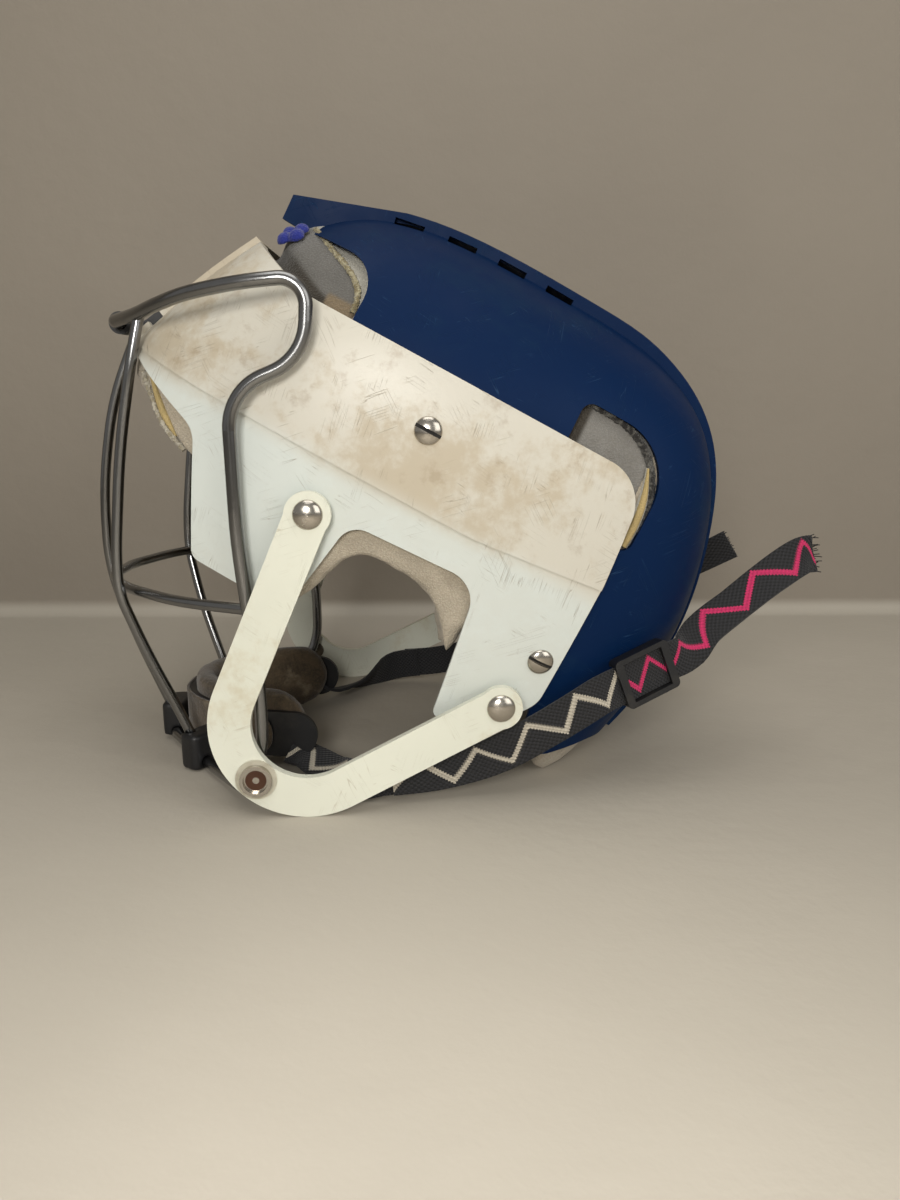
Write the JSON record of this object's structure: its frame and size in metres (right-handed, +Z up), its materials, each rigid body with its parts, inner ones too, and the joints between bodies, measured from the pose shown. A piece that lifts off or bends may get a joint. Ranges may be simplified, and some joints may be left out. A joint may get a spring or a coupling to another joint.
{
  "type": "hurling helmet",
  "caption": "White and blue two-shell hurling helmet with a steel wire face guard, ivory cheek yokes, padded liner, chin cup and black webbing straps.",
  "frame": {"origin": "under the middle of the helmet, on the table it rests on", "axes": "+X from the face towards the back of the head, +Y from the wearer's left to the right, +Z up"},
  "size_m": [0.3235, 0.1896, 0.2436],
  "materials": {
    "white_shell": "matte",
    "blue_shell": "matte",
    "ivory_yoke": "satin",
    "nickel_fasteners": "polished",
    "steel_wire": "brushed",
    "clear_washers": "satin",
    "black_plastic": "matte",
    "liner_cloth": "woven",
    "suede": "suede",
    "black_webbing": "woven",
    "blue_tuft": "woven"
  },
  "bodies": {
    "front": {"front_shell": "white_shell", "upper_screws": "nickel_fasteners", "upper_nuts": "nickel_fasteners", "lower_screws": "nickel_fasteners", "lower_nuts": "nickel_fasteners", "yoke_left": "ivory_yoke", "yoke_right": "ivory_yoke", "yoke_rivets": "nickel_fasteners", "yoke_spacers": "clear_washers", "rivet_burrs": "nickel_fasteners", "snap_caps": "nickel_fasteners", "snap_washers": "clear_washers", "snap_studs": "nickel_fasteners", "cage_clip_left": "black_plastic", "cage_clip_right": "black_plastic", "brow_pad": "liner_cloth", "side_pad_left": "liner_cloth", "side_pad_right": "liner_cloth", "clip_screws": "nickel_fasteners"},
    "rear": {"rear_shell": "blue_shell", "crown_pad": "liner_cloth", "rear_pad": "liner_cloth", "neck_pad": "liner_cloth", "chin_strap_rear_left": "black_webbing", "chin_strap_rear_right": "black_webbing", "liner_cloth_front": "liner_cloth", "liner_cloth_left": "liner_cloth", "liner_cloth_right": "liner_cloth", "liner_tuft": "blue_tuft", "strap_anchors": "nickel_fasteners"},
    "cage": {"cage_frame_wire": "steel_wire", "cage_centre_bar": "steel_wire", "cage_left_bar": "steel_wire", "cage_right_bar": "steel_wire", "cage_cross_bar": "steel_wire", "chin_cup_shell": "black_plastic", "chin_cup_pad": "suede", "chin_cup_cover": "suede", "chin_cup_sleeves": "black_plastic", "chin_strap_front_left": "black_webbing", "chin_strap_front_right": "black_webbing"},
    "glide_left": {"tri_glide_left": "black_plastic"},
    "glide_right": {"tri_glide_right": "black_plastic"}
  },
  "joints": [
    {"name": "size_adjust", "type": "slide", "parent": "front", "child": "rear", "axis": [0.8829, 0, -0.4695], "range_m": [-0.005, 0.005], "deforming": ["chin_strap_front_left", "chin_strap_front_right"]},
    {"name": "cage_hinge", "type": "hinge", "parent": "front", "child": "cage", "pos_m": [-0.13697, 0, 0.19387], "axis": [0, 1, 0], "range_deg": [0, 15], "deforming": ["chin_strap_front_left", "chin_strap_front_right"]},
    {"name": "glide_slide_left", "type": "slide", "parent": "rear", "child": "glide_left", "axis": [0.8881, 0.3171, 0.3328], "range_m": [-0.005, 0.005]},
    {"name": "glide_slide_right", "type": "slide", "parent": "rear", "child": "glide_right", "axis": [0.8881, -0.3171, 0.3328], "range_m": [-0.005, 0.005]}
  ]
}
